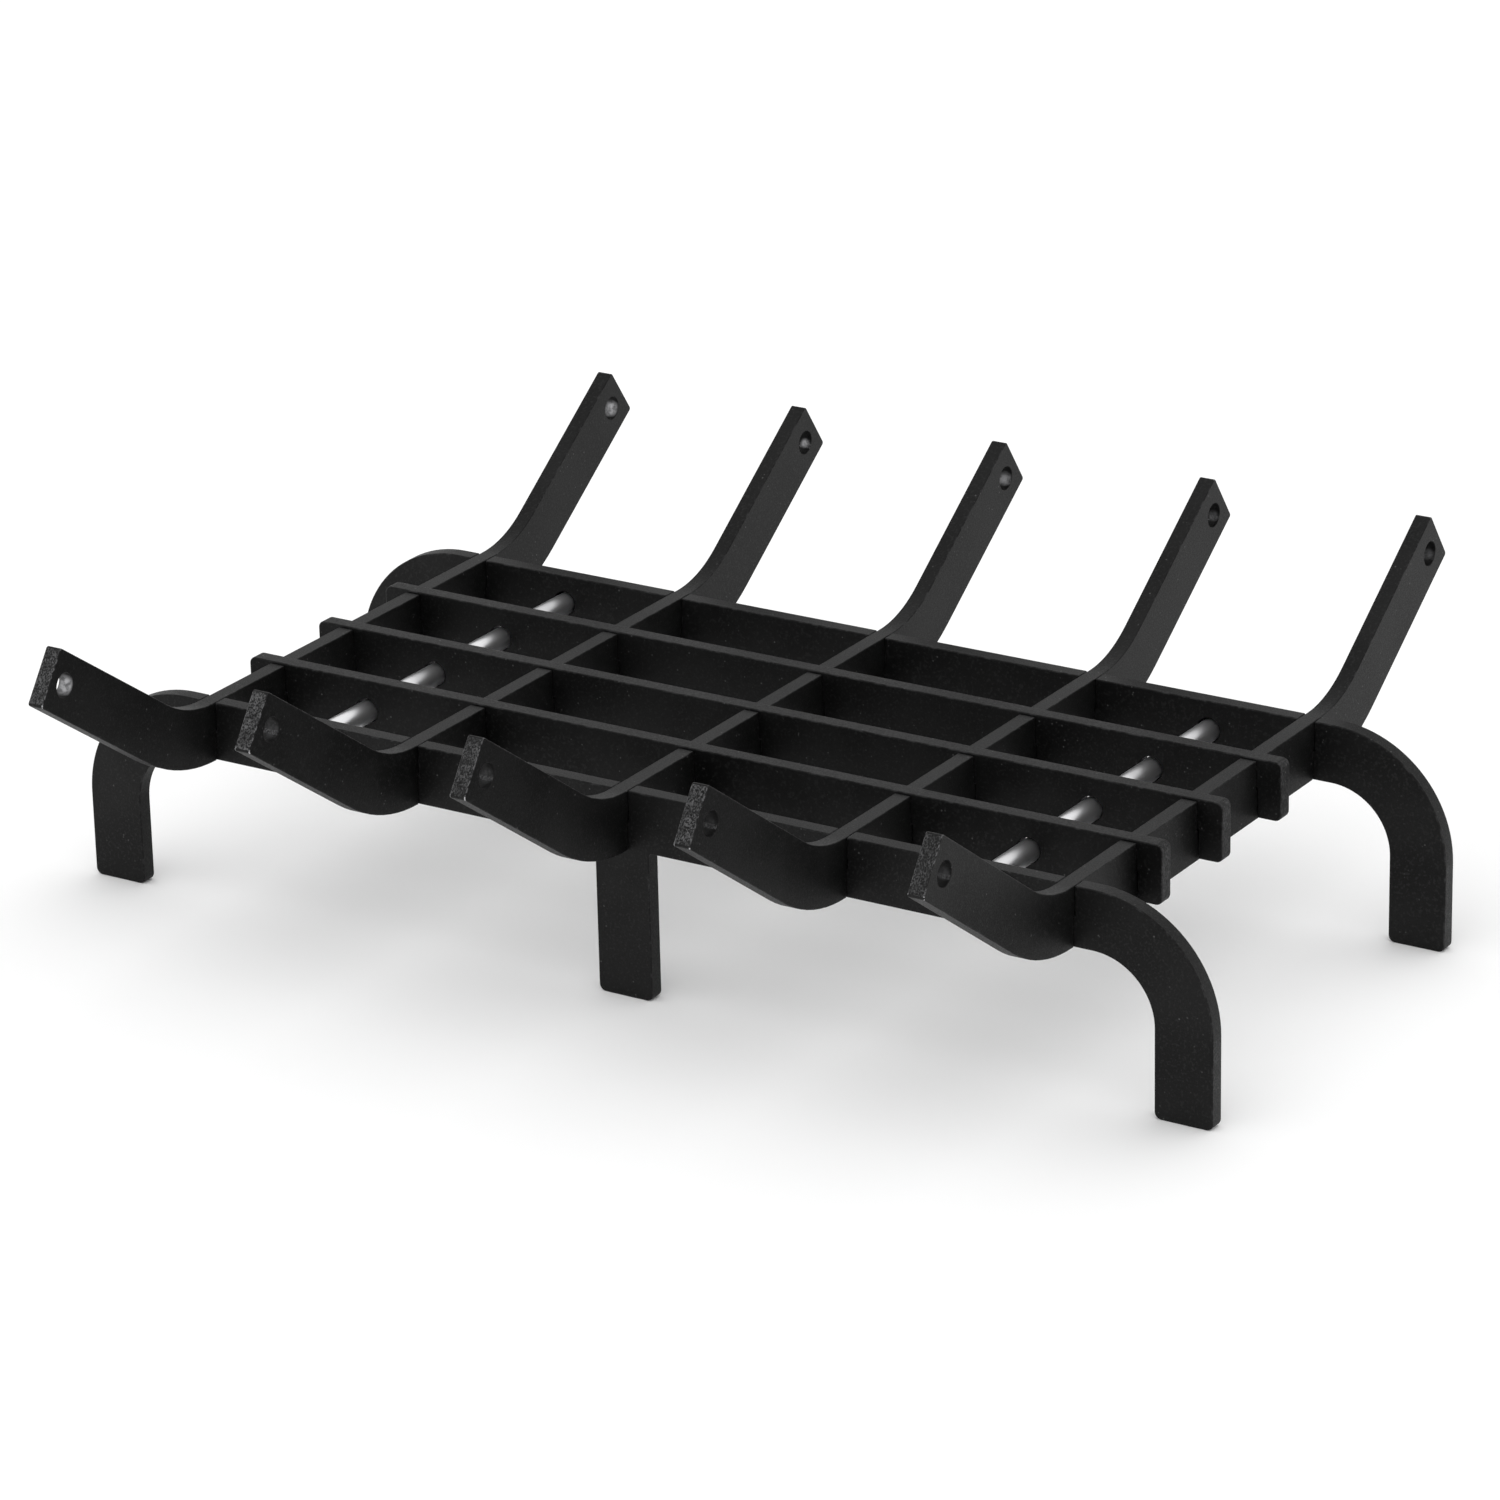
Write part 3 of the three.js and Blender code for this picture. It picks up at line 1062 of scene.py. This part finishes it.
@dataclass
class LogBar(FlatBar):
    """Log bar: level over the rails, then bent up in its own plane into a prong at each end."""

    rail_ys: tuple[float, ...] = ()
    rail_proud: float = 1.2 * MM
    prong_angle: float = math.radians(35)
    bend_radius: float = 72 * MM
    prong_length: float = 108 * MM
    prong_run: float = 0.5 * MM
    tip_round: float = 1.6 * MM
    hole_diameter: float = 14 * MM
    hole_inset: float = 13.5 * MM
    hook_marks: tuple[HookMark, HookMark] = (HookMark(5 * MM, 0.5), HookMark(5 * MM, 0.5))
    # Edges near the tip are more worn and carry a stronger painted edge highlight.
    tip_wear_and_highlight: float = 0.62
    corner_wear_and_highlight: float = 1
    tip_reach: float = 4 * MM

    @property
    def along(self) -> Vector:
        """Direction of the prong."""
        return Vector((math.cos(self.prong_angle), 0, math.sin(self.prong_angle)))

    @property
    def across(self) -> Vector:
        """Direction from the prong's lower edge to its upper one."""
        return Vector((-self.along.z, 0, self.along.x))

    @property
    def bend_centre(self) -> Vector:
        """Centre of the prong's bend."""
        start = max(self.rail_ys) + STOCK.half_slot + self.prong_run
        return Vector((start, 0, STOCK.deck_height + self.bend_radius))

    def on_prong(self, run: float, rise: float) -> Vector:
        """A point of the prong.

        Args:
            run: Distance from the end of the bend.
            rise: Distance from the upper edge, negative below it.

        Returns:
            The point of the drawing.
        """
        return self.bend_centre - self.across * (self.bend_radius - rise) + self.along * run

    def place(self) -> Matrix:
        """See FlatBar."""
        return Matrix.Translation((middle_of(self.node).x, 0, 0)) @ Matrix.Rotation(QUARTER_TURN, 4, "Z")

    def holes(self) -> list[tuple[Vector, float]]:
        """See FlatBar."""
        centre = self.on_prong(self.prong_length - self.hole_inset, -STOCK.depth / 2)
        return [(centre, self.hole_diameter / 2)]

    def bareness(self, point: Vector) -> float:
        """See FlatBar."""
        front, rear = self.hook_marks
        centre, radius = self.holes()[0]
        if point.x > 0:
            return rear.at(point, centre, radius)
        return front.at(point, Vector((-centre.x, 0, centre.z)), radius)

    def wear_and_highlight_at(self, point: Vector) -> float:
        """See FlatBar."""
        away = Vector((abs(point.x), 0, point.z)) - self.on_prong(0, -STOCK.depth)
        if away.dot(self.along) < self.prong_length - self.tip_reach:
            return self.plain_wear_and_highlight
        return self.corner_wear_and_highlight if away.dot(self.across) < self.tip_reach else self.tip_wear_and_highlight

    def cut_faces(self, mesh: bmesh.types.BMesh) -> list[bmesh.types.BMFace]:
        """See FlatBar."""
        return [
            f
            for f in mesh.faces
            if Vector((abs(f.normal.x), 0, f.normal.z)).dot(self.along) > self.facing
            and f.calc_center_median().z > STOCK.deck_height
        ]

    def draw(self, mesh: bmesh.types.BMesh) -> None:
        """See FlatBar."""
        top, under, gap = STOCK.deck_height, STOCK.underside, STOCK.half_slot
        ceiling = STOCK.mid_depth + STOCK.seat_gap / 2
        floor = STOCK.mid_depth + self.rail_proud / 2 - STOCK.seat_gap / 2
        radius = self.hole_diameter / 2
        centre_y, second_y, outer_y = self.rail_ys[-3:]
        bend = self.bend_centre
        hole_run = self.prong_length - self.hole_inset
        hole = self.on_prong(hole_run, -STOCK.depth / 2)
        hole_low, hole_high = hole - self.across * radius, hole + self.across * radius
        split_low = self.on_prong(hole_run, -STOCK.depth)
        split_high = self.on_prong(hole_run, 0)
        tip_low = self.on_prong(self.prong_length, -STOCK.depth)
        tip_high = self.on_prong(self.prong_length, 0)
        bend_high = self.on_prong(0, 0)

        body = Outline(mesh, centre_y, under)
        body.line(outer_y - gap, under).line(outer_y - gap, ceiling)
        body.line(outer_y + gap, ceiling).line(outer_y + gap, under)
        body.line(bend.x, under).arc(bend.x, bend.z, self.prong_angle)
        body.line(split_low.x, split_low.z).line(hole_low.x, hole_low.z)
        body.arc(hole.x, hole.z, -HALF_TURN).line(split_high.x, split_high.z)
        body.line(bend_high.x, bend_high.z).arc(bend.x, bend.z, -self.prong_angle)
        body.line(second_y + gap, top).line(second_y + gap, floor)
        body.line(second_y - gap, floor).line(second_y - gap, top)
        body.line(centre_y + gap, top).line(centre_y + gap, floor).line(centre_y, floor)
        body.close()

        tip = Outline(mesh, split_low.x, split_low.z)
        tip.line(tip_low.x, tip_low.z, self.tip_round).line(tip_high.x, tip_high.z, self.tip_round)
        tip.line(split_high.x, split_high.z).line(hole_high.x, hole_high.z)
        tip.arc(hole.x, hole.z, -HALF_TURN)
        tip.close()


# Tie rods and their fasteners


def turned(mesh: bmesh.types.BMesh, steps: int) -> None:
    """Spins a closed profile, drawn right of the Z axis, into a ring about that axis.

    Args:
        mesh: Mesh that holds only the profile.
        steps: Facets round the axis.
    """
    bmesh.ops.delete(mesh, geom=mesh.faces[:], context="FACES_ONLY")
    bmesh.ops.spin(
        mesh,
        geom=mesh.verts[:] + mesh.edges[:],
        cent=(0, 0, 0),
        axis=Z_AXIS,
        angle=FULL_TURN,
        steps=steps,
        use_merge=True,
        use_duplicate=False,
    )
    bmesh.ops.remove_doubles(mesh, verts=mesh.verts, dist=WELD)
    bmesh.ops.recalc_face_normals(mesh, faces=mesh.faces)


def outward(node: str, end: End, face: float) -> Matrix:
    """The turn and move from a part turned about Z to the end of a tie rod.

    Args:
        node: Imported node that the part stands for.
        end: End of the tie rod.
        face: Distance of the part's inner face from the middle of the rod.

    Returns:
        The matrix.
    """
    middle = middle_of(node)
    turn = Matrix.Rotation(-QUARTER_TURN * end.value, 4, "X")
    return Matrix.Translation((middle.x, end.value * face, middle.z)) @ turn


@dataclass
class Washer:
    """Flat washer under a nut."""

    node: str
    end: End
    finish: Finish
    bore_radius: float = 6.75 * MM
    rim_radius: float = 12 * MM
    thickness: float = 2.5 * MM
    rolled_edge: float = 0.6 * MM
    rough_edge: float = 0.25 * MM
    crease: float = math.radians(35)
    facets: int = 72

    def build(self) -> bpy.types.Object:
        """Makes the washer.

        Returns:
            The finished piece.
        """
        low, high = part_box(self.node)
        inner_face = min(abs(low[1]), abs(high[1]))
        mesh = bmesh.new()
        profile = Outline(mesh, self.bore_radius, self.thickness / 2)
        profile.line(self.bore_radius, 0, self.rough_edge)
        profile.line(self.rim_radius, 0, self.rough_edge)
        profile.line(self.rim_radius, self.thickness, self.rolled_edge)
        profile.line(self.bore_radius, self.thickness, self.rolled_edge)
        profile.close()
        turned(mesh, self.facets)
        bmesh.ops.transform(mesh, matrix=outward(self.node, self.end, inner_face), verts=mesh.verts)
        piece = finished(mesh, f"{self.node}_disc", self.crease)
        fit(piece, self.node, self.finish)
        return piece


@dataclass
class HexNut:
    """Hexagon nut with chamfered corners and a countersunk thread."""

    node: str
    end: End
    finish: Finish
    sides: int = 6
    across_flats: float = 19 * MM
    height: float = 8 * MM
    bore_radius: float = 6.65 * MM
    sink_radius: float = 7.3 * MM
    face_radius: float = 9.2 * MM
    chamfer_angle: float = math.radians(30)
    crease: float = math.radians(20)
    facets: int = 96

    def side(self, point: Vector) -> float:
        """Distance from the axis to the hexagon's side.

        Args:
            point: Point that gives the direction.

        Returns:
            The distance.
        """
        sector = FULL_TURN / self.sides
        bearing = math.atan2(point.y, point.x) % sector
        return self.across_flats / 2 / math.cos(bearing - sector / 2)

    def drop(self, radius: float) -> float:
        """How far the chamfer falls below the nut's face.

        Args:
            radius: Distance from the axis.

        Returns:
            The fall.
        """
        return (radius - self.face_radius) * math.tan(self.chamfer_angle)

    def turn_blank(self, mesh: bmesh.types.BMesh) -> None:
        """Turns a round blank as wide as the hexagon's corners.

        Args:
            mesh: Empty mesh.
        """
        corner = self.across_flats / 2 / math.cos(HALF_TURN / self.sides)
        sink = self.sink_radius - self.bore_radius
        profile = Outline(mesh, self.bore_radius, sink)
        profile.line(self.sink_radius, 0).line(self.face_radius, 0)
        profile.line(corner, self.drop(corner))
        profile.line(corner, self.height / 2)
        profile.line(corner, self.height - self.drop(corner))
        profile.line(self.face_radius, self.height).line(self.sink_radius, self.height)
        profile.line(self.bore_radius, self.height - sink)
        profile.close()
        turned(mesh, self.facets)

    def press_flats(self, mesh: bmesh.types.BMesh) -> None:
        """Presses the blank's rim in to the hexagon's sides.

        Args:
            mesh: Mesh of the blank.
        """
        for vertex in mesh.verts:
            radius = Vector((vertex.co.x, vertex.co.y, 0)).length
            if radius < self.face_radius + WELD:
                continue
            pressed = self.side(vertex.co)
            vertex.co.x *= pressed / radius
            vertex.co.y *= pressed / radius
            if vertex.co.z < self.height / 2 - WELD:
                vertex.co.z = self.drop(pressed)
            elif vertex.co.z > self.height / 2 + WELD:
                vertex.co.z = self.height - self.drop(pressed)

    def build(self) -> bpy.types.Object:
        """Makes the nut.

        Returns:
            The finished piece.
        """
        low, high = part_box(self.node)
        inner_face = min(abs(low[1]), abs(high[1]))
        mesh = bmesh.new()
        self.turn_blank(mesh)
        self.press_flats(mesh)
        place = outward(self.node, self.end, inner_face) @ Matrix.Rotation(QUARTER_TURN, 4, "Z")
        bmesh.ops.transform(mesh, matrix=place, verts=mesh.verts)
        piece = finished(mesh, f"{self.node}_hexagon", self.crease)
        fit(piece, self.node, self.finish)
        return piece


@dataclass
class TieRod:
    """Bright round bar with a right-hand thread cut on each end."""

    node: str
    finish: Finish
    radius: float = 6.35 * MM
    chamfer: float = 1.2 * MM
    pitch: float = 1.95 * MM
    thread_depth: float = 1.15 * MM
    crest: float = 0.35 * MM
    root: float = 0.3 * MM
    thread_length: float = 16 * MM
    spare_turns: int = 2
    run_out: float = 1.5 * MM
    crease: float = math.radians(35)
    facets: int = 48

    def build(self) -> bpy.types.Object:
        """Makes the rod.

        Returns:
            The finished piece.
        """
        low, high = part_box(self.node)
        middle = middle_of(self.node)
        end = (high[1] - low[1]) / 2
        mesh = bmesh.new()
        self.cut_thread(mesh, end)
        self.add_shank(mesh, end - self.thread_length)
        turn = Matrix.Rotation(HALF_TURN, 4, "X")
        other = bmesh.ops.duplicate(mesh, geom=mesh.verts[:] + mesh.edges[:] + mesh.faces[:])
        copied = [g for g in other["geom"] if isinstance(g, bmesh.types.BMVert)]
        bmesh.ops.transform(mesh, matrix=turn, verts=copied)
        bmesh.ops.remove_doubles(mesh, verts=mesh.verts, dist=WELD)
        stand = Matrix.Rotation(-QUARTER_TURN, 4, "X")
        bmesh.ops.transform(mesh, matrix=Matrix.Translation(middle) @ stand, verts=mesh.verts)
        piece = finished(mesh, f"{self.node}_bar", self.crease)
        fit(piece, self.node, self.finish)
        return piece

    def cut_thread(self, mesh: bmesh.types.BMesh, end: float) -> None:
        """Sweeps the thread along Z and trims both its ends square.

        Args:
            mesh: Empty mesh.
            end: Height of the rod's end.
        """
        deep = self.radius - self.thread_depth
        flank = (self.pitch - self.crest - self.root) / 2
        start = end - self.thread_length
        first_turn = start - self.pitch
        turns = math.ceil(self.thread_length / self.pitch) + self.spare_turns
        profile = Outline(mesh, deep, first_turn)
        profile.line(deep, first_turn + self.root)
        profile.line(self.radius, first_turn + self.root + flank)
        profile.line(self.radius, first_turn + self.root + flank + self.crest)
        profile.line(deep, start)
        bmesh.ops.spin(
            mesh,
            geom=mesh.verts[:] + mesh.edges[:],
            cent=(0, 0, 0),
            axis=Z_AXIS,
            dvec=Z_AXIS * self.pitch / self.facets,
            angle=FULL_TURN * turns,
            steps=self.facets * turns,
            use_merge=False,
            use_duplicate=False,
        )
        bmesh.ops.remove_doubles(mesh, verts=mesh.verts, dist=WELD)
        for height, normal in ((start, -Z_AXIS), (end, Z_AXIS)):
            bmesh.ops.bisect_plane(
                mesh,
                geom=mesh.verts[:] + mesh.edges[:] + mesh.faces[:],
                plane_co=Z_AXIS * height,
                plane_no=normal,
                clear_outer=True,
            )
        for vertex in mesh.verts:
            most = self.radius - max(0, vertex.co.z - end + self.chamfer)
            radius = Vector((vertex.co.x, vertex.co.y, 0)).length
            if radius > most:
                vertex.co.x *= most / radius
                vertex.co.y *= most / radius

    def add_shank(self, mesh: bmesh.types.BMesh, start: float) -> None:
        """Closes the rod's end and joins the thread to half of the plain shank.

        Args:
            mesh: Mesh with the thread.
            start: Height where the thread starts.
        """
        rims = [e for e in mesh.edges if e.is_boundary]
        lower = [e for e in rims if e.verts[0].co.z < start + self.pitch / 4]
        upper = [e for e in rims if e not in set(lower)]
        bmesh.ops.edgeloop_fill(mesh, edges=upper)
        circle = bmesh.ops.create_circle(mesh, cap_ends=False, segments=self.facets, radius=self.radius)
        bmesh.ops.translate(mesh, verts=circle["verts"], vec=Z_AXIS * (start - self.run_out))
        ring = edges_of(circle["verts"])
        bmesh.ops.bridge_loops(mesh, edges=lower + ring)
        shank = bmesh.ops.extrude_edge_only(mesh, edges=ring)
        moved = [g for g in shank["geom"] if isinstance(g, bmesh.types.BMVert)]
        bmesh.ops.translate(mesh, verts=moved, vec=-Z_AXIS * (start - self.run_out))


# Studio


def from_target(azimuth: float, elevation: float) -> Vector:
    """Direction from the grate to something that looks at it.

    Args:
        azimuth: Turn about the grate, from the front towards its right end.
        elevation: Angle above the level.

    Returns:
        The unit direction.
    """
    level = math.cos(elevation)
    return Vector((math.sin(azimuth) * level, -math.cos(azimuth) * level, math.sin(elevation)))


@dataclass(frozen=True)
class Lamp:
    """A wide soft light that comes from far away."""

    name: str
    strength: float
    azimuth: float
    elevation: float
    spread: float

    def build(self) -> None:
        """Makes the lamp."""
        data = bpy.data.lights.new(self.name, "SUN")
        data.energy = self.strength
        data.angle = self.spread
        lamp = bpy.data.objects.new(self.name, data)
        towards = from_target(self.azimuth, self.elevation)
        lamp.rotation_euler = towards.to_track_quat("Z", "Y").to_euler()
        lamp.visible_glossy = False
        bpy.context.scene.collection.objects.link(lamp)


@dataclass
class Studio:
    """Pale floor, pale surroundings and soft light from above."""

    floor_radius: float = 40
    floor_facets: int = 64
    floor_shade: Colour = (0.98, 0.98, 0.98)
    room_shade: Colour = (1, 1, 1)
    room_seen: float = 1
    room_light: float = 0.9
    lamp: Lamp = Lamp(
        "upper_lamp",
        strength=0.75,
        azimuth=math.radians(90),
        elevation=math.radians(90),
        spread=math.radians(90),
    )

    def build(self) -> None:
        """Makes the room, the floor and the lamp."""
        self.build_room()
        self.build_floor()
        self.lamp.build()

    def seen(self, tree: bpy.types.NodeTree) -> bpy.types.NodeSocket:
        """Tells whether a ray comes from the camera, a gloss or a clear surface.

        Args:
            tree: Node tree that asks.

        Returns:
            1 for such a ray, else 0.
        """
        path = tree.nodes.new("ShaderNodeLightPath")
        value = path.outputs["Is Camera Ray"]
        for name in ("Is Glossy Ray", "Is Transmission Ray"):
            either = tree.nodes.new("ShaderNodeMath")
            either.operation = "MAXIMUM"
            tree.links.new(value, either.inputs[0])
            tree.links.new(path.outputs[name], either.inputs[1])
            value = either.outputs["Value"]
        return value

    def build_room(self) -> None:
        """Makes the surroundings: white to the eye, and a little dimmer as a light."""
        world = bpy.data.worlds.new("room")
        world.use_nodes = True
        bpy.context.scene.world = world
        tree = world.node_tree
        data_type, lighting, seeing, result = Blend.NUMBERS.value
        strength = tree.nodes.new("ShaderNodeMix")
        strength.data_type = data_type
        tree.links.new(self.seen(tree), strength.inputs["Factor"])
        strength.inputs[lighting].default_value = self.room_light
        strength.inputs[seeing].default_value = self.room_seen
        background = tree.nodes["Background"]
        background.inputs["Color"].default_value = (*self.room_shade, 1)
        tree.links.new(strength.outputs[result], background.inputs["Strength"])

    def build_floor(self) -> None:
        """Makes the floor, which keeps a soft shadow and is otherwise white."""
        mesh = bmesh.new()
        bmesh.ops.create_circle(
            mesh, cap_ends=True, segments=self.floor_facets, radius=self.floor_radius
        )
        data = bpy.data.meshes.new("floor")
        mesh.to_mesh(data)
        mesh.free()
        floor = bpy.data.objects.new("floor", data)
        bpy.context.scene.collection.objects.link(floor)
        material = bpy.data.materials.new("floor")
        material.use_nodes = True
        tree = material.node_tree
        tree.nodes.clear()
        matt = tree.nodes.new("ShaderNodeBsdfDiffuse")
        matt.inputs["Color"].default_value = (*self.floor_shade, 1)
        output = tree.nodes.new("ShaderNodeOutputMaterial")
        tree.links.new(matt.outputs["BSDF"], output.inputs["Surface"])
        data.materials.append(material)


@dataclass
class PhotoCamera:
    """Camera at the photograph's place."""

    azimuth: float = math.radians(32.460)
    elevation: float = math.radians(21.299)
    roll: float = -0.0230
    distance: float = 3316.42 * MM
    target: tuple[float, float, float] = (107.71 * MM, -176.89 * MM, 175.99 * MM)
    lens: float = 154.39
    sensor: float = 36

    def build(self) -> None:
        """Makes the camera and sets it as the scene's."""
        back = from_target(self.azimuth, self.elevation)
        right = Z_AXIS.cross(back).normalized()
        up = back.cross(right)
        turned_right = right * math.cos(self.roll) + up * math.sin(self.roll)
        turned_up = up * math.cos(self.roll) - right * math.sin(self.roll)
        data = bpy.data.cameras.new("camera")
        data.lens = self.lens
        data.sensor_width = self.sensor
        camera = bpy.data.objects.new("camera", data)
        place = Matrix((turned_right, turned_up, back)).transposed().to_4x4()
        place.translation = Vector(self.target) + back * self.distance
        camera.matrix_world = place
        bpy.context.scene.collection.objects.link(camera)
        bpy.context.scene.camera = camera


# The grate


@dataclass
class LogGrate:
    """The whole grate: five log bars, five rails, and two tie rods with their fasteners.

    From left to right, tip_sawn is how strongly saw marks and painted light lighten each log bar's
    tips, and hook_marks holds the marks of its front and rear holes.
    """

    coat: PowderCoat = field(default_factory=PowderCoat)
    steel: BrightSteel = field(default_factory=BrightSteel)
    zinc: ZincPlate = field(default_factory=ZincPlate)
    mid_rails: tuple[str, ...] = ("front_mid_rail", "centre_mid_rail", "rear_mid_rail")
    leg_rails: tuple[str, ...] = ("front_leg_rail", "rear_leg_rail")
    log_bars: tuple[str, ...] = ("log_bar_1", "log_bar_2", "log_bar_3", "log_bar_4", "log_bar_5")
    rod_sides: tuple[str, ...] = ("left", "right")
    # Tips are lightened bar by bar: saw marks plus painted light.
    tip_sawn: tuple[float, ...] = (1.15, 1.6, 0.85, 1.2, 0.7)
    hook_marks: tuple[tuple[HookMark, HookMark], ...] = (
        (HookMark(7 * MM, 1), HookMark(6 * MM, 1)),
        (HookMark(6 * MM, 0.14), HookMark(3.4 * MM, 0.9)),
        (HookMark(5 * MM, 0.12), HookMark(5 * MM, 0.7)),
        (HookMark(4 * MM, 0.05), HookMark(4 * MM, 0.2)),
        (HookMark(4 * MM, 0.12), HookMark(4 * MM, 0.2)),
    )

    def build(self) -> list[bpy.types.Object]:
        """Builds every piece.

        Returns:
            The pieces.
        """
        bar_xs = tuple(middle_of(name).x for name in self.log_bars)
        rail_ys = tuple(sorted(middle_of(name).y for name in self.mid_rails + self.leg_rails))
        pieces = [LegRail(name, self.coat, bar_xs=bar_xs).build() for name in self.leg_rails]
        pieces += [MidRail(name, self.coat, bar_xs=bar_xs).build() for name in self.mid_rails]
        for name, sawn, marks in zip(self.log_bars, self.tip_sawn, self.hook_marks, strict=True):
            bar = LogBar(name, self.coat, sawn=sawn, rail_ys=rail_ys, hook_marks=marks)
            pieces.append(bar.build())
        for side in self.rod_sides:
            pieces.append(TieRod(f"{side}_tie_rod", self.steel).build())
            for end in End:
                where = f"{side}_{end.name.lower()}"
                pieces.append(Washer(f"{where}_washer", end, self.zinc).build())
                pieces.append(HexNut(f"{where}_nut", end, self.zinc).build())
        return pieces


def main() -> None:
    """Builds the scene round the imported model."""
    logging.basicConfig(level=logging.INFO, format="%(name)s: %(message)s")
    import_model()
    bpy.context.scene.view_settings.view_transform = "Standard"
    PhotoCamera().build()
    Studio().build()
    pieces = LogGrate().build()
    LOG.info("%d pieces", len(pieces))


if __name__ == "__main__":
    main()
